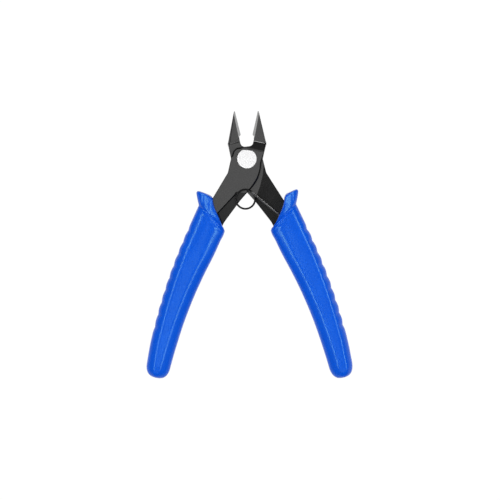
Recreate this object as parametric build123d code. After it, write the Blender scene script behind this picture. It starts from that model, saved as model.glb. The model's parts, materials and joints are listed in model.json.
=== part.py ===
from build123d import *
import os
from math import atan2, cos, degrees, hypot, radians, sin, tan

# Flush cutter, in millimetres. It is drawn about the centre of its pivot, closed, with +Y towards
# the jaws, +X to the right and +Z up through the plates. Each half is then turned to its rest place.
# The front half is the left arm and the right jaw. The rear half mirrors it, one plate lower.

# Driving dimensions
PLATE = 2.5                # thickness of each steel plate
GAP = 0.03                 # from each plate's bearing face to the plane between them
OPEN_ANGLE = 13.5          # how far each half turns from closed to rest
TIP_Y = 22.2               # jaw tips
TIP_WIDTH = 0.42
SIDE_X = 7.05              # straight sides of the lap joint
ARM_CORNER_Y = -8.2        # where the arms start to spread
EDGE_GAP = 0.012           # from each cutting edge to the middle, closed

HEAD_ANGLE = 21.0          # the flush faces' rise towards the tips
BEVEL_FACE_ANGLE = 17.0    # the jaws' front faces' rise
HEAD_BEND_Y = 8.8          # where that rise starts
REAR_BEND_R = 9.0          # rounding of the rear half's front face there
JAW_STEP_Y = 5.4           # where the front half's jaw starts to step down to the rear plate
STEP_FOOT_R = 2.7          # rounding there, clear of the rivet's seat
BEVEL_WIDTH = 1.4          # ground bevel along each cutting edge
EDGE_LAND = 0.1            # thickness left at the cutting edge
HEEL_Y = 11.5              # inner end of the cutting edges
SHOULDER_Y = 9.1           # where the jaws are widest
JAW_FLAT = 0.95            # flat along each jaw's outer edge: its width at the shoulder, nothing at the tip
JAW_FLAT_DROP = 1.05       # and how far it reaches down the side there
JAW_FLAT_END_Y = 7.4       # below the shoulder it runs out again here

BOSS_POCKET_R = 7.25       # round pocket in the front half's jaw root for the rear plate
POCKET_WALL_Y = 2.7        # lower end of that jaw root

RIVET_R = 4.4
RIVET_HEAD = 0.8
SHANK_R = 3.0
RUNNING_FIT = 0.05

FOLD_R = 38.0              # the rear arm's fold is an arc about FOLD_CENTRE
FOLD_CENTRE = (-29.5, 6.6)
ARM_RISE = 2.1             # how far the rear arm rises from its fold to its grip
ARM_SLOPE = 8.4
FOLD_CLEARANCE = 0.12      # between the front half's relief and that slope, closed

TANG_SHOULDER_Y = -30.5    # the arms' width ends here, inside the grips
TANG_END_Y = -82.0

WIRE_R = 0.4
LOOP_R = 4.37
LOOP_X, LOOP_Y = -0.87, -18.38     # the loop's centre at rest
LEG_ANGLE = 40.5           # the legs' fall from level
LEFT_LEG, RIGHT_LEG = 22.0, 24.0   # lengths
BACK_PASS_Z = 0.78         # the wire's height in the front half's pocket
FRONT_PASS_Z = 2.96        # in front of it
LEFT_LEG_Z = -0.48         # behind the left arm
RIGHT_LEG_Z = 2.65         # where the right leg ends
WIRE_PLAY = 0.05

RECESS_R = 5.25            # coined recess round the loop, in the front half's front face
RECESS_EDGE = 0.2          # its depth at its outer boundary
RECESS_TILT = 6.0
SPRING_POCKET = (13.4, 19.8)       # inner and outer radius of the pocket in its back face

GRIP_MID_Z = 1.25          # middle plane of both grips
GRIP_HALF = 5.2            # from there to the flat facets
RIM_HALF = 6.1             # and to the front of the thumb guard's rim
LEFT_END_Y, RIGHT_END_Y = -106.1, -107.0     # the grips' ends, closed
SCALLOPS = 9
SCALLOP_R = 2.5
SCALLOP_DEPTH = 0.42
GUARD_SHIFT = 0.6          # each thumb guard's seating, left one nearer the middle
REAR_JAW_SLIM = 0.35       # how much narrower the rear half's jaw is at its shoulder

FOLD_RUN = ARM_RISE / tan(radians(ARM_SLOPE))
REACH = 150.0              # beyond everything


def turned(point, angle):
    """A plan point turned about the pivot."""
    a = radians(angle)
    x, y = point
    return (x * cos(a) - y * sin(a), x * sin(a) + y * cos(a))


def prism(face, low, high):
    """A plan face pulled up from z = low to z = high."""
    return extrude(Pos(0, 0, low) * face, amount=high - low)


def profile_across(points, radii):
    """A closed outline in Y and Z, pulled across the whole width."""
    outline = FilletPolyline(*points, radius=radii, close=True)
    face = make_face(Plane.YZ * outline)
    return extrude(face, amount=40, both=True)


def half_outline(slim):
    """The plan of one half as the front half lies, closed: left arm, lap joint, right jaw."""
    boss_slope = tan(radians(20))
    boss_left = (-6.85, 3.4)
    root_x = 1.1
    crotch = (root_x, boss_left[1] + boss_slope * (root_x - boss_left[0]))
    crescent_top = (6.9, -0.4)
    crescent_end = (4.4, -13.4)
    corners = [
        (crescent_end, 0),
        ((1.2, -19.3), 12),
        ((-3.74, TANG_SHOULDER_Y), 10),
        ((-15.4, TANG_END_Y), 2.2),
        ((-20.4, TANG_END_Y), 2.2),
        ((-14.35, TANG_SHOULDER_Y), 10),
        ((-SIDE_X, ARM_CORNER_Y), 3),
        ((-SIDE_X, -0.6), 4),
        (boss_left, 3.2),
        (crotch, 2.0),
        ((root_x, 9.2), 0),
        ((0.88, 10.9), 0),
        ((0.45, HEEL_Y - 0.35), 0),
        ((EDGE_GAP, HEEL_Y), 0),
        ((EDGE_GAP, TIP_Y), 0),
        ((TIP_WIDTH, TIP_Y), 0),
        ((SIDE_X - slim, SHOULDER_Y), 0.9),
        ((SIDE_X, 0.8), 0),
        (crescent_top, 0),
    ]
    points = [point for point, _ in corners]
    radii = [radius for _, radius in corners[1:-1]]
    crescent = ThreePointArc(crescent_top, (7.0, -7.16), crescent_end)
    return make_face([FilletPolyline(*points, radius=radii), crescent])


def rivet_hole():
    """The shank's hole and the counterbores of both heads, through both plates."""
    bore = Cylinder(SHANK_R + RUNNING_FIT, 4 * PLATE)
    seat = Cylinder(RIVET_R + RUNNING_FIT, PLATE)
    seat_z = PLATE - RIVET_HEAD + PLATE / 2
    return bore + Pos(0, 0, seat_z) * seat + Pos(0, 0, -seat_z) * seat


def edge_bevel():
    """The wedge ground off the right jaw, leaving its cutting edge on the flush face."""
    along = Vector(0, cos(radians(HEAD_ANGLE)), sin(radians(HEAD_ANGLE)))
    start_y = HEEL_Y - 0.4
    start = Vector(0, start_y, -PLATE + (start_y - HEAD_BEND_Y) * tan(radians(HEAD_ANGLE)))
    across = Plane(origin=start, x_dir=(1, 0, 0), z_dir=-along)
    height = 2 * PLATE
    lean = BEVEL_WIDTH / (PLATE - EDGE_LAND)
    corners = [
        (EDGE_GAP, -EDGE_LAND),
        (-2, -EDGE_LAND),
        (-2, -height),
        (EDGE_GAP + lean * (height - EDGE_LAND), -height),
    ]
    if across.to_local_coords(start + Vector(0, 0, 1)).Y > 0:
        corners = [(x, -y) for x, y in corners]
    face = make_face(across * Polyline(*corners, close=True))
    return extrude(face, amount=TIP_Y, dir=along)


def jaw_flat(slim, end_z):
    """What is taken off the right jaw's outer front edge: widest at the shoulder, nothing at either end."""
    shoulder_x = SIDE_X - slim
    rise = tan(radians(BEVEL_FACE_ANGLE))
    tip = Vector(TIP_WIDTH, TIP_Y, (TIP_Y - HEAD_BEND_Y) * rise)
    end = Vector(SIDE_X, JAW_FLAT_END_Y, end_z)
    high = Vector(shoulder_x - JAW_FLAT, SHOULDER_Y, (SHOULDER_Y - HEAD_BEND_Y) * rise)
    low = Vector(shoulder_x, SHOULDER_Y, high.Z - JAW_FLAT_DROP)
    cut = Pos(5, SHOULDER_Y + 6.4, 0) * Box(10, 17, 20)
    for run_out in (tip, end):
        away = (low - high).cross(run_out - high)
        if away.X < 0:
            away = -away
        cut &= extrude(Plane(origin=high, z_dir=away) * Rectangle(60, 60), amount=20)
    return cut


def fold_disc(points):
    """An outline in distance from the fold's centre and height, turned about that centre."""
    face = make_face(Plane.XZ * Polyline(*points, close=True))
    return Pos(*FOLD_CENTRE, 0) * revolve(face, axis=Axis.Z)


def rear_sheet():
    """The rear plate's thickness: flat, sloping up beyond the fold, then flat inside the grip."""
    under = FOLD_R + PLATE * tan(radians(ARM_SLOPE / 2))
    return fold_disc([
        (0, -PLATE),
        (under, -PLATE),
        (under + FOLD_RUN, ARM_RISE - PLATE),
        (REACH, ARM_RISE - PLATE),
        (REACH, ARM_RISE - GAP),
        (FOLD_R + FOLD_RUN, ARM_RISE - GAP),
        (FOLD_R, -GAP),
        (0, -GAP),
    ])


def arm_relief(rear_outline):
    """What the closed rear arm sweeps, with clearance: taken off the back of the front half."""
    rising = fold_disc([
        (FOLD_R - 1, -PLATE),
        (FOLD_R - 1, FOLD_CLEARANCE),
        (FOLD_R, FOLD_CLEARANCE),
        (FOLD_R + FOLD_RUN, ARM_RISE + FOLD_CLEARANCE),
        (REACH, ARM_RISE + FOLD_CLEARANCE),
        (REACH, -PLATE),
    ])
    keep = Pos(0, ARM_CORNER_Y - 10) * Rectangle(40, 26)
    beside = rear_outline + Pos(-0.4, 0) * rear_outline
    return rising & prism(beside & keep, -PLATE, PLATE)


def strip_recess():
    """The recess coined into the front face along the left arm's inner edge and round the loop."""
    loop = turned((LOOP_X, LOOP_Y), OPEN_ANGLE)
    top, foot = (-1.8, -17.38), (-7.74, -27.44)
    run = (foot[0] - top[0], foot[1] - top[1])
    far = (top[0] + 1.6 * run[0], top[1] + 1.6 * run[1])
    strip = make_face(Polyline(top, far, (far[0] + 12, far[1]), (8, -20), (8, -16), close=True))
    plan = strip + Pos(*loop) * Circle(RECESS_R)
    length = hypot(*run)
    floor = Plane(
        origin=(*top, PLATE - RECESS_EDGE),
        x_dir=(run[0] / length, run[1] / length, 0),
        z_dir=(0, 0, 1),
    ).rotated((RECESS_TILT, 0, 0))
    above = extrude(floor * Rectangle(120, 120), amount=6)
    return prism(plan, 0, 2 * PLATE) & above


def spring_pocket():
    """The pocket in the front half's back face that the loop's hidden pass lies in."""
    inner, outer = SPRING_POCKET
    ring = Circle(outer) - Circle(inner)
    start, end = -90 + 20 + OPEN_ANGLE, -90 - 36 + OPEN_ANGLE
    far = 60
    corners = [(far * cos(radians(a)), far * sin(radians(a))) for a in (start, end)]
    sector = make_face(Polyline((0, 0), *corners, close=True))
    return prism(ring & sector, -PLATE, BACK_PASS_Z + WIRE_R + WIRE_PLAY)


def front_half(outline, rear_outline):
    rise = TIP_Y + 1 - HEAD_BEND_Y
    side = profile_across(
        [
            (-REACH, GAP),
            (POCKET_WALL_Y, GAP),
            (POCKET_WALL_Y, -PLATE),
            (HEAD_BEND_Y, -PLATE),
            (HEAD_BEND_Y + rise, -PLATE + rise * tan(radians(HEAD_ANGLE))),
            (HEAD_BEND_Y + rise, rise * tan(radians(BEVEL_FACE_ANGLE))),
            (HEAD_BEND_Y, 0),
            (JAW_STEP_Y, PLATE),
            (-REACH, PLATE),
        ],
        [0, 0, 0, 2, 0, 0, 0, STEP_FOOT_R, 0],
    )
    half = prism(outline, -3 * PLATE, 5 * PLATE) & side
    half -= Pos(0, 0, GAP - PLATE) * Cylinder(BOSS_POCKET_R, 2 * PLATE)
    half -= arm_relief(rear_outline)
    half -= spring_pocket()
    half -= strip_recess()
    half -= edge_bevel()
    half -= jaw_flat(0, (HEAD_BEND_Y - JAW_FLAT_END_Y) * PLATE / (HEAD_BEND_Y - JAW_STEP_Y))
    return half - rivet_hole()


def rear_half(outline):
    rise = TIP_Y + 1 - HEAD_BEND_Y
    split_y = 6.0
    side = profile_across(
        [
            (split_y - 1, -PLATE),
            (HEAD_BEND_Y, -PLATE),
            (HEAD_BEND_Y + rise, -PLATE + rise * tan(radians(HEAD_ANGLE))),
            (HEAD_BEND_Y + rise, rise * tan(radians(BEVEL_FACE_ANGLE))),
            (HEAD_BEND_Y, -GAP),
            (split_y - 1, -GAP),
        ],
        [0, 2, 0, 0, REAR_BEND_R, 0],
    )
    jaw = prism(outline & (Pos(0, split_y + REACH / 2) * Rectangle(REACH, REACH)), -8, 12) & side
    body = prism(outline & (Pos(0, split_y - REACH / 2) * Rectangle(REACH, REACH)), -8, 12)
    half = jaw + (body & rear_sheet())
    half -= mirror(edge_bevel(), about=Plane.YZ)
    half -= mirror(jaw_flat(REAR_JAW_SLIM, 0), about=Plane.YZ)
    return half - rivet_hole()


def rivet():
    shank = Cylinder(SHANK_R, 2 * (PLATE - RIVET_HEAD) + 0.2)
    head = Cylinder(RIVET_R, RIVET_HEAD)
    head = chamfer(head.edges().group_by(Axis.Z)[-1], 0.12)
    head = Pos(0, 0, PLATE - RIVET_HEAD / 2) * head
    return shank + head + mirror(head, about=Plane.XY)


def loop_height(angle):
    """The wire's height on its way round the loop, clockwise from the left leg's tangent point."""
    climb_start, climb_end = 25.0, -80.0
    t = min(max((climb_start - angle) / (climb_start - climb_end), 0), 1)
    return BACK_PASS_Z + (FRONT_PASS_Z - BACK_PASS_Z) * (3 * t * t - 2 * t * t * t)


def spring():
    """One wire: left leg, a turn and a quarter, right leg."""
    start = 90 + LEG_ANGLE
    steps = 20
    step = (360 + 180 - 2 * LEG_ANGLE) / steps
    bend_r = LOOP_R / cos(radians(step / 2))
    points = []
    for k in range(steps):
        angle = start - (k + 0.5) * step
        x = LOOP_X + bend_r * cos(radians(angle))
        y = LOOP_Y + bend_r * sin(radians(angle))
        points.append(Vector(x, y, loop_height(angle)))
    fall = Vector(0, -sin(radians(LEG_ANGLE)), 0)
    out = Vector(cos(radians(LEG_ANGLE)), 0, 0)
    left = Vector(LOOP_X, LOOP_Y, 0) + LOOP_R * Vector(cos(radians(start)), sin(radians(start)), 0)
    right = Vector(2 * LOOP_X - left.X, left.Y, 0)
    under = left + (fall - out) * 4.5 + Vector(0, 0, LEFT_LEG_Z)
    left_end = left + (fall - out) * LEFT_LEG + Vector(0, 0, LEFT_LEG_Z)
    right_end = right + (fall + out) * RIGHT_LEG + Vector(0, 0, RIGHT_LEG_Z)
    points = [left_end, under, *points, right_end]
    radii = []
    for a, b, c in zip(points, points[1:], points[2:]):
        turn = radians((b - a).get_angle(c - b))
        shorter = min((b - a).length, (c - b).length)
        radii.append(0.45 * shorter / tan(turn / 2))
    path = FilletPolyline(*points, radius=radii)
    section = Plane(origin=path @ 0, z_dir=path % 0) * Circle(WIRE_R)
    return sweep(section, path=path)


def wire_slot(side):
    """Room inside a grip for one of the spring's legs, at rest."""
    start = 90 + LEG_ANGLE
    x = LOOP_X + side * -LOOP_R * cos(radians(start))
    y = LOOP_Y + LOOP_R * sin(radians(start))
    along = (side * cos(radians(LEG_ANGLE)), -sin(radians(LEG_ANGLE)))
    length = (LEFT_LEG if side < 0 else RIGHT_LEG) + 1
    z = LEFT_LEG_Z if side < 0 else RIGHT_LEG_Z
    height = 2 * (WIRE_R + WIRE_PLAY) + 0.25
    slot = Box(length, 2 * (WIRE_R + WIRE_PLAY), height)
    middle = (x + along[0] * length / 2, y + along[1] * length / 2, z)
    return Pos(*middle) * Rot(0, 0, degrees(atan2(along[1], along[0]))) * slot


def grip_section(inner, outer, half):
    """An upright eight-sided section between two plan points, low sides and wide facets."""
    width = hypot(outer[0] - inner[0], outer[1] - inner[1])
    bevel_in, bevel_out = 0.24 * width, 0.27 * width
    side = 0.42 * half
    corners = [
        (0, -side),
        (bevel_in, -half),
        (width - bevel_out, -half),
        (width, -side),
        (width, side),
        (width - bevel_out, half),
        (bevel_in, half),
        (0, side),
    ]
    plane = Plane(
        origin=(*inner, GRIP_MID_Z),
        x_dir=(outer[0] - inner[0], outer[1] - inner[1], 0),
        z_dir=(outer[1] - inner[1], inner[0] - outer[0], 0),
    )
    flip = 1 if plane.y_dir.Z > 0 else -1
    return make_face(plane * Polyline(*[(x, flip * y) for x, y in corners], close=True))


def grip_blank(shift, end_y):
    """The right grip's outside, closed: body, rounded end and thumb guard."""
    over = GRIP_HALF + 0.3
    top = grip_section((2.65, -35.2), (16.9, -27.6), over)
    body = loft([
        top,
        grip_section((4.7, -45.0), (20.2, -43.0), over),
        grip_section((7.4, -56.0), (21.95, -54.0), over),
        grip_section((9.65, -67.0), (23.25, -65.5), over),
        grip_section((11.4, -79.0), (24.0, -78.0), over),
        grip_section((12.4, -91.0), (24.25, -90.5), over),
        grip_section((13.1, -101.0), (23.7, -101.0), over),
    ])
    end = loft([
        grip_section((13.1, -101.0), (23.7, -101.0), over),
        grip_section((13.8, end_y + 1.7), (22.9, end_y + 1.7), 0.82 * over),
        grip_section((15.8, end_y - 0.4), (21.2, end_y - 0.4), 0.45 * over),
    ])
    body = (body + end) & Pos(0, 0, GRIP_MID_Z) * Box(400, 400, 2 * GRIP_HALF)
    guard = loft(
        [
            top,
            grip_section((2.85, -33.4), (16.75 + shift, -25.2), over + 0.4),
            grip_section((3.2, -28.0), (20.0 + shift, -16.8), RIM_HALF + 0.9),
        ],
        ruled=True,
    )
    rim = FilletPolyline(
        (-6, -42), (5.0 + shift, -31.0), (10.6 + shift, -24.5), (12.3 + shift, -20.2), (26, -18.6), radius=1.4
    )
    below_rim = make_face([rim, Polyline((26, -18.6), (26, -42), (-6, -42))])
    guard &= prism(below_rim, -20, 20)
    low, high = GRIP_MID_Z - GRIP_HALF, GRIP_MID_Z + RIM_HALF
    guard &= Pos(0, 0, (low + high) / 2) * Box(400, 400, high - low)
    return body + guard


def scalloped(blank):
    """Shallow finger scallops along the outer side."""
    side = ThreePointArc((18.95, -37.5), (22.8, -60.2), (24.15, -83.2))
    for k in range(SCALLOPS):
        t = k / (SCALLOPS - 1)
        out = Vector(-(side % t).Y, (side % t).X, 0)
        if out.X < 0:
            out = -out
        centre = (side @ t) + out * (SCALLOP_R - SCALLOP_DEPTH)
        blank -= Pos(centre.X, centre.Y, GRIP_MID_Z) * Cylinder(SCALLOP_R, 30)
    return blank


rear_outline = mirror(half_outline(REAR_JAW_SLIM), about=Plane.YZ)
front = Rot(0, 0, -OPEN_ANGLE) * front_half(half_outline(0), rear_outline)
rear = Rot(0, 0, OPEN_ANGLE) * rear_half(rear_outline)
left_blank = mirror(scalloped(grip_blank(-GUARD_SHIFT, LEFT_END_Y)), about=Plane.YZ)
right_blank = scalloped(grip_blank(GUARD_SHIFT, RIGHT_END_Y))
nodes = {
    "front_cutter_half": front,
    "rear_cutter_half": rear,
    "pivot_rivet": rivet(),
    "return_spring": spring(),
    "left_grip": Rot(0, 0, -OPEN_ANGLE) * left_blank - front - wire_slot(-1),
    "right_grip": Rot(0, 0, OPEN_ANGLE) * right_blank - rear - wire_slot(1),
}

box = Compound(children=[Part() + node for node in nodes.values()]).bounding_box()
origin = Pos(-box.center().X, -box.center().Y, -box.min.Z)
print("pivot at", -box.center().X, -box.center().Y, -box.min.Z, "size", box.size)

os.makedirs("parts", exist_ok=True)
for name, node in nodes.items():
    export_step(origin * node, f"parts/{name}.step")
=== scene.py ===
import json
import math

import bmesh
import bpy
from mathutils import Matrix, Vector
from mathutils.bvhtree import BVHTree


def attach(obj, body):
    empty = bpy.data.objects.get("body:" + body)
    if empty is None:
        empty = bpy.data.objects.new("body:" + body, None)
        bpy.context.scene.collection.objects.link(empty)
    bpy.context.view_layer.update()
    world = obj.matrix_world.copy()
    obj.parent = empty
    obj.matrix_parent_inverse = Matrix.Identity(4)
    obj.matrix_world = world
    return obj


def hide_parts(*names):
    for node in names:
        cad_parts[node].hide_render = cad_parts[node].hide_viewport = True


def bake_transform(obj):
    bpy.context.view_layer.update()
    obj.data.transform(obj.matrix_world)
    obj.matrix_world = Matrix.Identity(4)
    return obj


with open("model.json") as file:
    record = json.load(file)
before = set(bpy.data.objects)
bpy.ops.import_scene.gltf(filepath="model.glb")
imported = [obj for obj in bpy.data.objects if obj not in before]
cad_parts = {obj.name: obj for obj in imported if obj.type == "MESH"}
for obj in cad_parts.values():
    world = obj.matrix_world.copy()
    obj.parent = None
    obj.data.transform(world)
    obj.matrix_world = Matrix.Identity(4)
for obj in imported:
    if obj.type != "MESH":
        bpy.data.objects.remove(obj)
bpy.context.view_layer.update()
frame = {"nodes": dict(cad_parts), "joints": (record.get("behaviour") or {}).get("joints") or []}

# Lengths below are millimetres from the pivot's centre: X right, Y to the jaws, Z up.
MM = 0.001
PIVOT = Vector(frame["joints"][0]["pos_m"])
OPEN_ANGLE = frame["joints"][0]["range_deg"][1]
GRIP_MID_Z = 1.25


def spot(x, y, z):
    """A point given in millimetres from the pivot, in the row frame."""
    return PIVOT + Vector((x, y, z)) * MM


def new_piece(name, verts, faces, body):
    """A smooth-shaded mesh piece. A blended piece is given no body here."""
    mesh = bpy.data.meshes.new(name)
    mesh.from_pydata(verts, [], faces)
    mesh.update()
    mesh.shade_smooth()
    piece = bpy.data.objects.new(name, mesh)
    bpy.context.scene.collection.objects.link(piece)
    if body:
        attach(piece, body)
    return piece


# ---------------------------------------------------------------- curves in plan

def catmull_rom(p, q, r, s, t):
    square = 2 * p - 5 * q + 4 * r - s
    cube = 3 * q - p - 3 * r + s
    return 0.5 * (2 * q + (r - p) * t + square * t * t + cube * t ** 3)


def spline(points, steps):
    """A Catmull-Rom curve through points of any dimension, steps per span."""
    out = []
    last = len(points) - 1
    for i in range(last):
        a = points[max(i - 1, 0)]
        b, c = points[i], points[i + 1]
        d = points[min(i + 2, last)]
        for k in range(steps):
            t = k / steps
            out.append(tuple(catmull_rom(p, q, r, s, t) for p, q, r, s in zip(a, b, c, d)))
    out.append(tuple(points[last]))
    return out


class Along:
    """A polyline read by the fraction of its length."""

    def __init__(self, points):
        self.points = points
        self.at = [0.0]
        for a, b in zip(points, points[1:]):
            self.at.append(self.at[-1] + math.dist(a, b))
        self.length = self.at[-1]

    def __call__(self, fraction):
        d = min(max(fraction, 0.0), 1.0) * self.length
        for i in range(len(self.points) - 1):
            if d <= self.at[i + 1] or i == len(self.points) - 2:
                gap = self.at[i + 1] - self.at[i]
                t = (d - self.at[i]) / gap if gap else 0.0
                return tuple(p + (q - p) * t for p, q in zip(self.points[i], self.points[i + 1]))


def smooth_step(t):
    t = min(max(t, 0.0), 1.0)
    return t * t * (3 - 2 * t)


def softened(corners, per_corner):
    """A closed outline of (x, z, share) corners, each rounded over that share of its half sides."""
    out = []
    n = len(corners)
    for i in range(n):
        a, b, c = (Vector(corners[j % n][:2]) for j in (i - 1, i, i + 1))
        share = corners[i][2]
        start = b + (a - b) * 0.5 * share
        end = b + (c - b) * 0.5 * share
        for k in range(per_corner):
            t = k / (per_corner - 1)
            out.append(start * (1 - t) ** 2 + b * 2 * t * (1 - t) + end * t * t)
    return out


# ---------------------------------------------------------------- grips

# Closed, right grip, seen from the front: inner and outer edge at stations down the body.
BODY_STATIONS = [
    (2.6, -34.2, 16.65, -25.5),
    (4.67, -45.0, 20.18, -43.0),
    (7.38, -56.0, 21.92, -54.0),
    (9.62, -67.0, 23.22, -65.5),
    (11.38, -79.0, 24.02, -78.0),
    (12.42, -91.0, 24.25, -90.5),
    (12.9, -99.5, 23.85, -99.5),
]
END_X = 18.25
LEFT_END_Y, RIGHT_END_Y = -106.2, -107.15
HEEL_BULGE = 0.26          # of the inner edge, just below the guard
ROW_STEP = 0.4
GRIP_HALF = 5.2            # from the grips' middle plane to their facets
INNER_RIDGE = 4.2          # from the inner edge to the ridge beside the facet
LEFT_RIDGE, RIGHT_RIDGE = 3.7, 3.0                     # from the outer edge to the other ridge
FIRST_NOTCH, NOTCH_PITCH, NOTCHES = 12.3, 5.81, 9      # along the outer edge
LEFT_NOTCH, RIGHT_NOTCH = 0.38, 0.50                   # their depths
CREASE = 0.5               # depth of the groove between guard and body
FLARE_START = 0.82         # the guard's height at the groove, of its height at the rim
RIM_HALF = 6.05            # from the middle plane to the front of a guard's rim
# Where each guard ends against the steel, then along its wing.
LEFT_LIP = [
    (3.0, -33.5), (4.45, -31.7), (6.6, -28.6), (9.0, -25.4), (10.4, -22.9),
    (11.2, -20.7), (12.4, -19.9), (14.8, -19.45), (17.6, -19.1), (18.75, -19.4), (18.95, -20.4),
]
RIGHT_LIP = [
    (3.0, -33.5), (5.2, -31.7), (7.8, -28.6), (10.2, -25.4), (11.6, -22.9),
    (12.3, -20.9), (13.3, -19.85), (15.8, -19.3), (18.1, -18.9), (18.95, -19.3), (19.0, -20.3),
]
PER_CORNER = 6             # points in each rounded corner of a section
BODY_LENGTH = 72.0         # from the groove to where the end's rounding starts
TOP_CROWN, FOOT_CROWN = 0.42, 0.02                     # the facet's crown, fading down the body
CROWN_FADE = 17.0
GROOVE_WIDTH = 0.75
GROOVE_LIP = (0.14, 1.9, 0.9)                          # height, distance and width of the swell beside it
SEAM = (0.05, 0.16)        # height and half width of the mould's parting line
HEEL = 2.8                 # where the heel bulge is highest, and how wide it is
LIP_TURN, END_TURN = 84.0, 89.0                        # degrees the lip and the end are rounded through
RISE_STEPS, LIP_STEPS, END_STEPS = 16, 9, 18


def body_corners(width, down, ridge):
    """The body's section: low sides, bevels, and a facet that is less crowned further down."""
    upper = math.exp(-((down / CROWN_FADE) ** 2))
    crown = FOOT_CROWN + TOP_CROWN * upper
    front = [
        (0.0, 1.5, 0.9),
        (1.3, 3.3, 0.9),
        (INNER_RIDGE, GRIP_HALF - crown - 0.05 * upper, 0.7),
        (0.5 * width, GRIP_HALF, 0.95),
        (width - ridge, GRIP_HALF - crown - 0.1 * upper, 0.65),
        (width - 0.95, 3.3, 0.9),
        (width, 1.3, 0.9),
    ]
    back = [(x, -z, share) for x, z, share in reversed(front)]
    return front + back


def guard_corners(width):
    """The guard's section at its rim: one smooth dome, flatter behind."""
    front = [
        (0.0, 1.3, 1.0),
        (0.08 * width, 4.5, 1.0),
        (0.28 * width, 6.1, 1.0),
        (0.54 * width, RIM_HALF + 0.1, 1.0),
        (0.78 * width, 5.9, 1.0),
        (0.95 * width, 4.3, 1.0),
        (width, 1.2, 1.0),
    ]
    back = [(x, -min(z, GRIP_HALF), share) for x, z, share in reversed(front)]
    return front + back


def station_rows():
    """(inner x, y, outer x, y, distance down the grip) rows down the body."""
    line = Along(spline(BODY_STATIONS, 16))
    count = int(BODY_LENGTH / ROW_STEP)
    return [(*line(k / count), BODY_LENGTH * k / count) for k in range(count + 1)]


def crease(distance, z):
    """How much the groove lowers the front or raises the back there."""
    swell, away, wide = GROOVE_LIP
    groove = CREASE * math.exp(-((distance / GROOVE_WIDTH) ** 2))
    depth = groove - swell * math.exp(-(((distance - away) / wide) ** 2))
    return math.copysign(depth * smooth_step((abs(z) - 1.5) / 2), z)


def body_row(row, outer_run, notch_depth, ridge):
    ix, iy, ox, oy, down = row
    width = math.dist((ix, iy), (ox, oy))
    dx, dy = (ox - ix) / width, (oy - iy) / width
    phase = (outer_run - FIRST_NOTCH) / NOTCH_PITCH
    dent = 0.0
    if -0.5 < phase < NOTCHES - 0.5:
        near = abs(phase - round(phase)) * 2
        dent = notch_depth * (1 - near) ** 1.7
    bulge = HEEL_BULGE * math.exp(-(((down - HEEL) / HEEL) ** 2))
    points = []
    for a, z in softened(body_corners(width, down, ridge), PER_CORNER):
        outer_side = smooth_step((a - (width - ridge)) / (0.8 * ridge))
        inner_side = smooth_step((INNER_RIDGE - a) / INNER_RIDGE)
        seam = SEAM[0] * math.exp(-((z / SEAM[1]) ** 2))
        if a < 0.5 * width:
            a -= seam + bulge * inner_side
        else:
            a += seam - dent * outer_side
        points.append((ix + dx * a, iy + dy * a, z - crease(down, z)))
    return points


def guard_rows(first, lip, ridge):
    """Rows from the crease at the body's top up the flaring guard, over its lip and down its end."""
    ix, iy, ox, oy, _ = first
    width = math.dist((ix, iy), (ox, oy))
    edge = Along(spline(lip, 8))
    low = softened(body_corners(width, 0, ridge), PER_CORNER)
    high = softened(guard_corners(edge.length), PER_CORNER)
    rows = []
    for step in range(1, RISE_STEPS + LIP_STEPS + 1):
        row = []
        for (a, z0), (b, z1) in zip(low, high):
            u = b / edge.length
            base = (ix + (ox - ix) * a / width, iy + (oy - iy) * a / width)
            tip = edge(u)
            crest = 0.80 + 0.08 * smooth_step((u - 0.55) / 0.3)
            if step <= RISE_STEPS:
                t = step / RISE_STEPS
                w = crest * t
                height = FLARE_START + (1 - FLARE_START) * t ** 1.4 if z1 > 0 else 1.0
                domed = smooth_step(t / 0.45)
                z = z0 * (1 - domed) + z1 * height * domed
                z -= crease(-math.dist(base, tip) * w, z)
            else:
                turn = (step - RISE_STEPS) / LIP_STEPS * math.radians(LIP_TURN)
                w = crest + (1 - crest) * math.sin(turn)
                z = z1 * math.cos(turn) ** 0.7
            out = w + 0.25 * w * (1 - w) * (u - 0.5)
            row.append((base[0] + (tip[0] - base[0]) * out, base[1] + (tip[1] - base[1]) * w, z))
        rows.append(row)
    return rows


def end_rows(last, end_y, ridge):
    ix, iy, ox, oy, down = last
    width = math.dist((ix, iy), (ox, oy))
    middle = Vector(((ix + ox) / 2, (iy + oy) / 2))
    tip = Vector((END_X, end_y))
    rows = []
    for step in range(1, END_STEPS + 1):
        turn = math.radians(END_TURN) * (step / END_STEPS) ** 1.15
        along = math.sin(turn) ** 0.8
        wide, tall = math.cos(turn) ** 0.72, math.cos(turn) ** 0.6
        row = []
        for a, z in softened(body_corners(width, down, ridge), PER_CORNER):
            across = (a / width - 0.5) * wide
            centre = middle + (tip - middle) * along
            row.append((centre.x + (ox - ix) * across, centre.y + (oy - iy) * across, z * tall))
        rows.append(row)
    return rows


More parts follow.
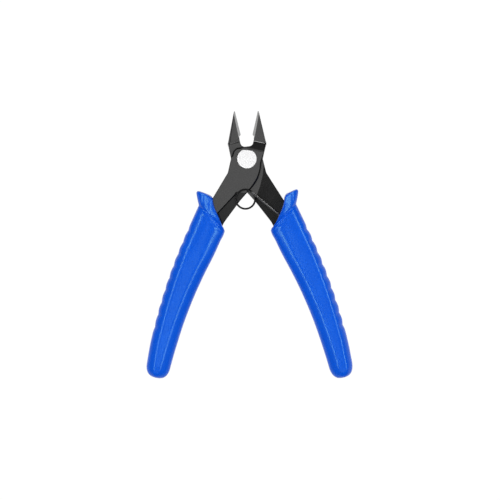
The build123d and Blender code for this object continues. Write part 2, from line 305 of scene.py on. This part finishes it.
def make_grip(name, side, body):
    """side is 1 for the right grip on the rear half and -1 for the left one on the front half."""
    stations = station_rows()
    lip, notch_depth, end_y, ridge = (
        (RIGHT_LIP, RIGHT_NOTCH, RIGHT_END_Y, RIGHT_RIDGE) if side > 0
        else (LEFT_LIP, LEFT_NOTCH, LEFT_END_Y, LEFT_RIDGE)
    )
    rows = list(reversed(guard_rows(stations[0], lip, ridge)))
    run = 0.0
    for i, row in enumerate(stations):
        if i:
            run += math.dist(row[2:4], stations[i - 1][2:4])
        rows.append(body_row(row, run, notch_depth, ridge))
    rows += end_rows(stations[-1], end_y, ridge)
    ring = len(rows[0])
    angle = side * math.radians(OPEN_ANGLE)
    turn = Matrix.Rotation(angle, 3, "Z")
    verts = []
    for row in rows:
        for x, y, z in row:
            at = turn @ Vector((side * x, y, 0))
            verts.append(spot(at.x, at.y, z + GRIP_MID_Z))
    faces = []
    for i in range(len(rows) - 1):
        for k in range(ring):
            a, b = i * ring + k, i * ring + (k + 1) % ring
            faces.append((a, a + ring, b + ring, b))
    half = ring // 2
    for k in range(half - 1):
        faces.append((k, k + 1, ring - 2 - k, ring - 1 - k))
    start = (len(rows) - 1) * ring
    tip = sum((Vector(v) for v in verts[start:]), Vector()) / ring
    verts.append(tip)
    for k in range(ring):
        faces.append((start + k, len(verts) - 1, start + (k + 1) % ring))
    if side > 0:
        faces = [tuple(reversed(f)) for f in faces]
    grip = new_piece(name, verts, faces, body)
    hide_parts(name.replace("_shell", ""))
    return grip


# ---------------------------------------------------------------- steel halves

STEEL, GROUND, EDGE, CREASE_HIGHLIGHT, RECESS = range(5)           # material slots
GROUND_NORMAL_Z = 0.471    # of the bevels ground along the cutting edges
RECESS_TILT = 6.0          # of the recess coined round the spring
WIDE_CHAMFER = 0.74        # along the edges that lie over the other half
NARROW_CHAMFER = 0.26
JAW_CHAMFER = 0.1
CREASE_HIGHLIGHT_WIDTH = 0.13          # of the painted highlight along the crease above the jaw step
PROBE_OUT, PROBE_UP = 0.8, 5.0      # where the steel beyond an edge is looked for
HEAD_BEND_Y = 8.8          # the jaws lie beyond it
SEAT_R = 4.7               # the rivet's hole keeps a square edge
WELD = 0.002               # vertices closer than this are one
FLAT_WITHIN = 0.8          # degrees between facets that are joined
SHARP_FROM = 32.0          # degrees between the facets of a stamped edge
FOLD_SHARP_FROM = 3.5      # degrees between the shallow facets of a crisp fold


def is_sharp(e, degrees):
    return len(e.link_faces) == 2 and e.calc_face_angle() > math.radians(degrees)


def mark_faces(bm):
    """Slots for the ground bevels and the recess, told by their tilts; the recess slot gets a darker copy
    of the steel as painted shade.
    """
    recess_z = math.cos(math.radians(RECESS_TILT))
    for f in bm.faces:
        f.smooth = True
        on_bevel = abs(f.normal.z - GROUND_NORMAL_Z) < 0.03 and abs(f.normal.x) > 0.8
        in_recess = abs(f.normal.z - recess_z) < 0.001 and f.normal.y < -0.05
        f.material_index = GROUND if on_bevel else RECESS if in_recess else STEEL


def paint_crease_highlight(bm):
    """A painted highlight: a strip of lighter steel along the crease above the front half's jaw step."""
    creases = [
        e for e in bm.edges
        if is_sharp(e, SHARP_FROM) and min(f.normal.y for f in e.link_faces) < -0.2
        and max(f.normal.y for f in e.link_faces) > 0.4 and all(f.normal.z > 0.5 for f in e.link_faces)
    ]
    bmesh.ops.bevel(
        bm, geom=creases, offset=CREASE_HIGHLIGHT_WIDTH * MM, segments=1, profile=0.5, affect="EDGES",
        clamp_overlap=True, material=CREASE_HIGHLIGHT,
    )


def chamfer_width(e, behind):
    """How far a stamped edge is broken. Edges that lie over the other half are broken widest."""
    middle = (e.verts[0].co + e.verts[1].co) / 2
    if (middle.xy - PIVOT.xy).length < SEAT_R * MM:
        return 0.0
    if middle.y > PIVOT.y + HEAD_BEND_Y * MM:
        return JAW_CHAMFER
    side = min(e.link_faces, key=lambda f: abs(f.normal.z))
    front = max(e.link_faces, key=lambda f: f.normal.z)
    out = Vector((side.normal.x, side.normal.y, 0))
    if front.normal.z > 0.9 and out.length > 0.5:
        probe = middle + out.normalized() * PROBE_OUT * MM
        if behind.ray_cast(probe + Vector((0, 0, PROBE_UP * MM)), Vector((0, 0, -1)))[0]:
            return WIDE_CHAMFER
    return NARROW_CHAMFER


def weigh_edges(bm, behind):
    """The Bevel modifier's weights, as shares of its width."""
    weight = bm.edges.layers.float.new("bevel_weight_edge")
    for e in bm.edges:
        if is_sharp(e, SHARP_FROM) and not any(f.material_index in (GROUND, CREASE_HIGHLIGHT) for f in e.link_faces):
            e[weight] = chamfer_width(e, behind) / WIDE_CHAMFER


def sharpen(bm):
    """Stamped edges and the arms' shallow folds are shaded crisp."""
    for e in bm.edges:
        fold = (
            is_sharp(e, FOLD_SHARP_FROM) and all(f.normal.z > 0.97 for f in e.link_faces)
            and max(v.co.y for v in e.verts) < PIVOT.y
        )
        e.smooth = not (fold or is_sharp(e, SHARP_FROM))


def make_steel(name, node, other, body):
    """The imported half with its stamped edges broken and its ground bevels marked."""
    lying_behind = frame["nodes"][other].data
    behind = BVHTree.FromPolygons(
        [v.co for v in lying_behind.vertices], [tuple(p.vertices) for p in lying_behind.polygons]
    )
    bm = bmesh.new()
    bm.from_mesh(frame["nodes"][node].data)
    bmesh.ops.remove_doubles(bm, verts=bm.verts, dist=WELD * MM)
    bmesh.ops.dissolve_limit(bm, angle_limit=math.radians(FLAT_WITHIN), verts=bm.verts, edges=bm.edges)
    mark_faces(bm)
    paint_crease_highlight(bm)
    weigh_edges(bm, behind)
    sharpen(bm)
    mesh = bpy.data.meshes.new(name)
    bm.to_mesh(mesh)
    bm.free()
    piece = bpy.data.objects.new(name, mesh)
    bpy.context.scene.collection.objects.link(piece)
    bevel = piece.modifiers.new("chamfer", "BEVEL")
    bevel.limit_method = "WEIGHT"
    bevel.width = WIDE_CHAMFER * MM
    bevel.segments = 2
    bevel.profile = 0.35
    bevel.use_clamp_overlap = False
    # The chamfers carry a darker, less glossy copy of the steel: painted shade along the edges.
    bevel.material = EDGE
    weighted = piece.modifiers.new("weighted", "WEIGHTED_NORMAL")
    weighted.keep_sharp = True
    weighted.weight = 90
    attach(piece, body)
    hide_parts(node)
    return piece


# ---------------------------------------------------------------- rivet

RIVET_R = 4.4
RIM_ROUND = 0.14
SHANK_R = 3.0
PLATE = 2.5
RIVET_HEAD = 0.8
RIVET_CROWN = 0.04
RIVET_SIDES = 96


def crown_height(r):
    return PLATE + RIVET_CROWN * (1 - (r / (RIVET_R - RIM_ROUND)) ** 2)


def make_rivet():
    rim = []
    for k in range(7):
        a = math.radians(15 * k)
        rim.append((RIVET_R + RIM_ROUND * (math.sin(a) - 1), PLATE + RIM_ROUND * (math.cos(a) - 1)))
    top = [(r, crown_height(r)) for r in (0.02, 0.8, 1.6, 2.4, 3.2, 3.8)]
    under = PLATE - RIVET_HEAD
    half = top + rim + [(RIVET_R, under), (SHANK_R, under)]
    profile = half + [(r, -z) for r, z in reversed(half)]
    verts, faces = [], []
    for r, z in profile:
        for k in range(RIVET_SIDES):
            a = 2 * math.pi * k / RIVET_SIDES
            verts.append(spot(r * math.cos(a), r * math.sin(a), z))
    for i in range(len(profile) - 1):
        for k in range(RIVET_SIDES):
            a, b = i * RIVET_SIDES + k, i * RIVET_SIDES + (k + 1) % RIVET_SIDES
            faces.append((a, a + RIVET_SIDES, b + RIVET_SIDES, b))
    faces.append(tuple(range(RIVET_SIDES)))
    faces.append(tuple(reversed(range((len(profile) - 1) * RIVET_SIDES, len(profile) * RIVET_SIDES))))
    rivet = new_piece("rivet_turned", verts, faces, "pivot")
    rivet.data.set_sharp_from_angle(angle=math.radians(50))
    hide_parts("pivot_rivet")
    return rivet


# ---------------------------------------------------------------- spring

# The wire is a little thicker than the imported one, and passes higher in front to clear the plate.
WIRE_R = 0.44
WIRE_SIDES = 28
LOOP_R = 4.37
LOOP_X, LOOP_Y = -0.87, -18.38
LEG_ANGLE = 40.5
LEFT_LEG, RIGHT_LEG = 22.0, 24.0
BACK_PASS_Z, FRONT_PASS_Z = 0.78, 3.02
LEFT_LEG_Z, RIGHT_LEG_Z = -0.48, 2.65
LEFT_SETTLE = 6.0          # the left leg reaches its height within this length, the right one at its end
CLIMB_START, CLIMB_RUN = 25.0, 105.0                   # degrees round the loop
COIL_STEPS, LEG_STEPS = 150, 60


def loop_point(angle):
    t = smooth_step((CLIMB_START - angle) / CLIMB_RUN)
    z = BACK_PASS_Z + (FRONT_PASS_Z - BACK_PASS_Z) * t
    a = math.radians(angle)
    return spot(LOOP_X + LOOP_R * math.cos(a), LOOP_Y + LOOP_R * math.sin(a), z)


def wire(name, path, body):
    """A round wire swept along close points."""
    verts, faces = [], []
    up = Vector((0, 0, 1))
    for i, p in enumerate(path):
        along = (path[min(i + 1, len(path) - 1)] - path[max(i - 1, 0)]).normalized()
        across = along.cross(up).normalized()
        over = across.cross(along)
        for k in range(WIRE_SIDES):
            a = 2 * math.pi * k / WIRE_SIDES
            verts.append(p + (across * math.cos(a) + over * math.sin(a)) * WIRE_R * MM)
    for i in range(len(path) - 1):
        for k in range(WIRE_SIDES):
            a, b = i * WIRE_SIDES + k, i * WIRE_SIDES + (k + 1) % WIRE_SIDES
            faces.append((a, b, b + WIRE_SIDES, a + WIRE_SIDES))
    faces.append(tuple(reversed(range(WIRE_SIDES))))
    faces.append(tuple(range((len(path) - 1) * WIRE_SIDES, len(path) * WIRE_SIDES)))
    return new_piece(name, verts, faces, body)


def make_spring():
    first, last = 90 + LEG_ANGLE, 90 - LEG_ANGLE - 360
    turn = [loop_point(first + (last - first) * k / COIL_STEPS) for k in range(COIL_STEPS + 1)]
    coil = wire("spring_coil", turn, "pivot")
    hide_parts("return_spring")
    fall = Vector((0, -math.sin(math.radians(LEG_ANGLE)), 0)) * MM
    out = Vector((math.cos(math.radians(LEG_ANGLE)), 0, 0)) * MM
    for name, start, way, length, end_z, body, settle in (
        ("spring_leg_left", loop_point(first), fall - out, LEFT_LEG, LEFT_LEG_Z, "front_half", LEFT_SETTLE),
        ("spring_leg_right", loop_point(last), fall + out, RIGHT_LEG, RIGHT_LEG_Z, "rear_half", RIGHT_LEG),
    ):
        start_z = start.z
        end_height = PIVOT.z + end_z * MM
        path = []
        for k in range(LEG_STEPS + 1):
            d = length * k / LEG_STEPS
            p = start + way * d
            p.z = start_z + (end_height - start_z) * smooth_step(d / settle)
            path.append(p)
        leg = wire(name, path, None)
        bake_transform(leg)


# ---------------------------------------------------------------- materials

def new_material(name):
    m = bpy.data.materials.new(name)
    m.use_nodes = True
    tree = m.node_tree
    return m, tree, tree.nodes["Principled BSDF"]


def coords(tree, stretch=(1, 1, 1), turn=0.0):
    """Millimetre coordinates fixed to the piece."""
    tc = tree.nodes.new("ShaderNodeTexCoord")
    mapping = tree.nodes.new("ShaderNodeMapping")
    mapping.inputs["Scale"].default_value = [s / MM for s in stretch]
    mapping.inputs["Rotation"].default_value = (0, 0, turn)
    tree.links.new(tc.outputs["Object"], mapping.inputs["Vector"])
    return mapping.outputs["Vector"]


def noise(tree, vector, scale, detail=3.0, rough=0.55):
    n = tree.nodes.new("ShaderNodeTexNoise")
    n.inputs["Scale"].default_value = scale
    n.inputs["Detail"].default_value = detail
    n.inputs["Roughness"].default_value = rough
    tree.links.new(vector, n.inputs["Vector"])
    return n.outputs["Fac"]


def ramp(tree, value, low, high, colour_low, colour_high):
    r = tree.nodes.new("ShaderNodeValToRGB")
    r.color_ramp.elements[0].position = low
    r.color_ramp.elements[1].position = high
    r.color_ramp.elements[0].color = (*colour_low, 1)
    r.color_ramp.elements[1].color = (*colour_high, 1)
    tree.links.new(value, r.inputs["Fac"])
    return r.outputs["Color"]


def span(tree, value, low, high, to_low, to_high):
    m = tree.nodes.new("ShaderNodeMapRange")
    for socket, number in (("From Min", low), ("From Max", high), ("To Min", to_low), ("To Max", to_high)):
        m.inputs[socket].default_value = number
    tree.links.new(value, m.inputs["Value"])
    return m.outputs["Result"]


def mix_colour(tree, factor, a, b, kind="MIX"):
    m = tree.nodes.new("ShaderNodeMix")
    m.data_type = "RGBA"
    m.blend_type = kind
    for value, socket in ((factor, m.inputs[0]), (a, m.inputs[6]), (b, m.inputs[7])):
        if isinstance(value, bpy.types.NodeSocket):
            tree.links.new(value, socket)
        else:
            socket.default_value = value if isinstance(value, float) else (*value, 1)
    return m.outputs[2]


def bump(tree, bsdf, height, distance_mm, before=None):
    b = tree.nodes.new("ShaderNodeBump")
    b.inputs["Strength"].default_value = 1.0
    b.inputs["Distance"].default_value = distance_mm * MM
    tree.links.new(height, b.inputs["Height"])
    if before:
        tree.links.new(before, b.inputs["Normal"])
    tree.links.new(b.outputs["Normal"], bsdf.inputs["Normal"])
    return b.outputs["Normal"]


def black_oxide(name, tone_share, ior):
    m, tree, bsdf = new_material(name)
    plain = coords(tree)
    blotch = noise(tree, plain, 0.22, 4)
    grain = noise(tree, plain, 2.6, 4, 0.65)
    brushed = noise(tree, coords(tree, (0.35, 5.0, 1.0), 0.15), 1.0, 3)
    # A tone_share below 1 makes a darker copy of the same steel, used as painted shade.
    low, high = 0.007 * tone_share, 0.0105 * tone_share
    tone = ramp(tree, blotch, 0.3, 0.75, (low, low, low), (high, high, high))
    fine = ramp(tree, grain, 0.35, 0.7, (0.88, 0.88, 0.88), (1.12, 1.12, 1.12))
    tree.links.new(mix_colour(tree, 1.0, tone, fine, "MULTIPLY"), bsdf.inputs["Base Color"])
    tree.links.new(span(tree, grain, 0.3, 0.7, 0.13, 0.18), bsdf.inputs["Roughness"])
    bsdf.inputs["IOR"].default_value = ior
    first = bump(tree, bsdf, grain, 0.0012)
    bump(tree, bsdf, brushed, 0.0012, first)
    return m


def ground_steel(name, metallic):
    m, tree, bsdf = new_material(name)
    lines = noise(tree, coords(tree, (0.4, 9.0, 1.0), 0.25), 1.0, 4, 0.6)
    tone = ramp(tree, lines, 0.3, 0.75, (0.30, 0.30, 0.30), (0.40, 0.40, 0.40))
    tree.links.new(tone, bsdf.inputs["Base Color"])
    tree.links.new(span(tree, lines, 0.3, 0.7, 0.28, 0.42), bsdf.inputs["Roughness"])
    bsdf.inputs["Metallic"].default_value = metallic
    bump(tree, bsdf, lines, 0.0015)
    return m


def bright_steel(name):
    m, tree, bsdf = new_material(name)
    centre = tree.nodes.new("ShaderNodeTexCoord")
    shift = tree.nodes.new("ShaderNodeMapping")
    shift.vector_type = "POINT"
    shift.inputs["Location"].default_value = -PIVOT / MM
    shift.inputs["Scale"].default_value = (1 / MM, 1 / MM, 1 / MM)
    tree.links.new(centre.outputs["Object"], shift.inputs["Vector"])
    rings = tree.nodes.new("ShaderNodeTexWave")
    rings.wave_type = "RINGS"
    rings.rings_direction = "Z"
    rings.inputs["Scale"].default_value = 0.9
    rings.inputs["Distortion"].default_value = 0.6
    rings.inputs["Detail"].default_value = 2.0
    tree.links.new(shift.outputs["Vector"], rings.inputs["Vector"])
    marks = noise(tree, coords(tree), 1.4, 4, 0.6)
    tone = ramp(tree, marks, 0.3, 0.8, (0.84, 0.84, 0.845), (0.88, 0.88, 0.88))
    tree.links.new(tone, bsdf.inputs["Base Color"])
    tree.links.new(span(tree, marks, 0.3, 0.7, 0.24, 0.36), bsdf.inputs["Roughness"])
    bsdf.inputs["Metallic"].default_value = 0.35
    bump(tree, bsdf, rings.outputs["Fac"], 0.00018)
    return m


def spring_wire(name, ior, rough):
    m, tree, bsdf = new_material(name)
    drawn = noise(tree, coords(tree), 1.8, 4, 0.6)
    tone = ramp(tree, drawn, 0.3, 0.75, (0.002, 0.002, 0.002), (0.005, 0.005, 0.005))
    tree.links.new(tone, bsdf.inputs["Base Color"])
    tree.links.new(span(tree, drawn, 0.3, 0.7, rough, rough + 0.06), bsdf.inputs["Roughness"])
    bsdf.inputs["IOR"].default_value = ior
    bump(tree, bsdf, drawn, 0.0002)
    return m


def moulded_blue(name):
    m, tree, bsdf = new_material(name)
    plain = coords(tree)
    cloud = noise(tree, plain, 0.09, 3)
    peel = noise(tree, plain, 0.9, 2)
    tone = ramp(tree, cloud, 0.3, 0.7, (0.0008, 0.075, 0.60), (0.0012, 0.084, 0.64))
    tree.links.new(tone, bsdf.inputs["Base Color"])
    tree.links.new(span(tree, peel, 0.3, 0.7, 0.23, 0.29), bsdf.inputs["Roughness"])
    bsdf.inputs["Specular Tint"].default_value = (0.42, 1.0, 0.66, 1)
    bsdf.inputs["IOR"].default_value = 1.42
    bump(tree, bsdf, peel, 0.0006)
    return m


# ---------------------------------------------------------------- the object

steel = black_oxide("black_oxide_steel", 1.0, 1.66)
# A darker, less glossy copy of the same steel for the chamfered edges: painted shade.
edges = black_oxide("black_oxide_edges_painted_shade", 0.5, 1.28)
# A darker, less glossy copy of the same steel for the recess round the spring: painted shade.
recess_shaded = black_oxide("black_oxide_recess_shaded", 0.7, 1.24)
# The lighter steel on the strip along the jaw step's crease is a painted highlight.
crease_highlight = ground_steel("crease_highlight_steel", 0.5)
ground = ground_steel("ground_steel", 1.0)
blue = moulded_blue("moulded_blue")

front = make_steel("front_half_steel", "front_cutter_half", "rear_cutter_half", "front_half")
rear = make_steel("rear_half_steel", "rear_cutter_half", "front_cutter_half", "rear_half")
for half in (front, rear):
    for material in (steel, ground, edges, crease_highlight, recess_shaded):
        half.data.materials.append(material)
rivet = make_rivet()
rivet.data.materials.append(bright_steel("rivet_steel"))
make_spring()
# One wire with two finishes: the coil and left leg are duller, as painted shade, and the right leg is
# glossier, as a painted highlight.
coil_wire_painted_shade = spring_wire("coil_wire_painted_shade", 1.28, 0.3)
leg_wire_painted_highlight = spring_wire("leg_wire_painted_highlight", 2.0, 0.22)
for name in ("spring_coil", "spring_leg_left"):
    bpy.data.objects[name].data.materials.append(coil_wire_painted_shade)
bpy.data.objects["spring_leg_right"].data.materials.append(leg_wire_painted_highlight)
for name, side, body in (("left_grip_shell", -1, "front_half"), ("right_grip_shell", 1, "rear_half")):
    make_grip(name, side, body).data.materials.append(blue)
for node in frame["nodes"].values():
    node.data.materials.clear()
    node.data.materials.append(blue if "grip" in node.name else steel)


# ---------------------------------------------------------------- stage, lights, camera

FLOOR_HALF = 1.5           # metres
PANEL_DISTANCE = 1.4       # metres from the tool to each softbox


def make_floor():
    mesh = bpy.data.meshes.new("floor")
    r = FLOOR_HALF
    mesh.from_pydata([(-r, -r, 0), (r, -r, 0), (r, r, 0), (-r, r, 0)], [], [(0, 1, 2, 3)])
    floor = bpy.data.objects.new("floor", mesh)
    bpy.context.scene.collection.objects.link(floor)
    m, tree, bsdf = new_material("pale_floor")
    bsdf.inputs["Base Color"].default_value = (0.03, 0.03, 0.03, 1)
    bsdf.inputs["Emission Color"].default_value = (1, 1, 1, 1)
    bsdf.inputs["Emission Strength"].default_value = 0.99
    bsdf.inputs["Roughness"].default_value = 0.9
    bsdf.inputs["Specular IOR Level"].default_value = 0.1
    mesh.materials.append(m)


def panel(name, azimuth, tilt, width, tall, radiance):
    """A softbox aimed at the tool: compass angle from +X, angle from overhead, sizes in metres."""
    a, t = math.radians(azimuth), math.radians(tilt)
    away = Vector((math.cos(a) * math.sin(t), math.sin(a) * math.sin(t), math.cos(t)))
    level = Vector((-math.sin(a), math.cos(a), 0))
    data = bpy.data.lights.new(name, "AREA")
    data.shape = "RECTANGLE"
    data.size = width
    data.size_y = tall
    data.energy = radiance * math.pi * width * tall
    lamp = bpy.data.objects.new(name, data)
    turn = Matrix((level, away.cross(level), away)).transposed().to_4x4()
    lamp.matrix_world = Matrix.Translation(away * PANEL_DISTANCE) @ turn
    bpy.context.scene.collection.objects.link(lamp)


make_floor()
# Overhead panels for the flat faces, fills for the jaws' tilted ones, a strip on each side.
panel("overhead_front", -121, 8.7, 0.27, 0.27, 2.4)
panel("overhead_back", 90, 6.75, 0.30, 0.40, 1.1)
panel("bend_fill", -73, 13.0, 0.15, 0.50, 1.1)
panel("step_fill", 90, 22, 0.34, 0.35, 0.45)
panel("lower_panel", -90, 34, 1.2, 0.55, 1.1)
panel("left_strip", 174, 38, 1.6, 0.30, 8.5)
panel("right_strip", 9, 38, 1.6, 0.24, 11.5)

world = bpy.data.worlds.new("studio")
bpy.context.scene.world = world
world.use_nodes = True
world.node_tree.nodes["Background"].inputs["Color"].default_value = (1, 1, 1, 1)
world.node_tree.nodes["Background"].inputs["Strength"].default_value = 0.13

# The view is straight down on the tool, 227.5 mm wide, turned a little on its axis.
FRAME_WIDTH = 227.5
LENS = 100.0
SENSOR = 36.0
VIEW_TURN = 0.70
camera_data = bpy.data.cameras.new("camera")
camera_data.lens = LENS
camera_data.sensor_width = SENSOR
camera = bpy.data.objects.new("camera", camera_data)
camera.location = spot(0.908, -41.468, GRIP_MID_Z + FRAME_WIDTH * LENS / SENSOR)
camera.rotation_euler = (0, 0, -math.radians(VIEW_TURN))
bpy.context.scene.collection.objects.link(camera)
bpy.context.scene.camera = camera
bpy.context.scene.view_settings.view_transform = "Standard"

bpy.context.view_layer.update()
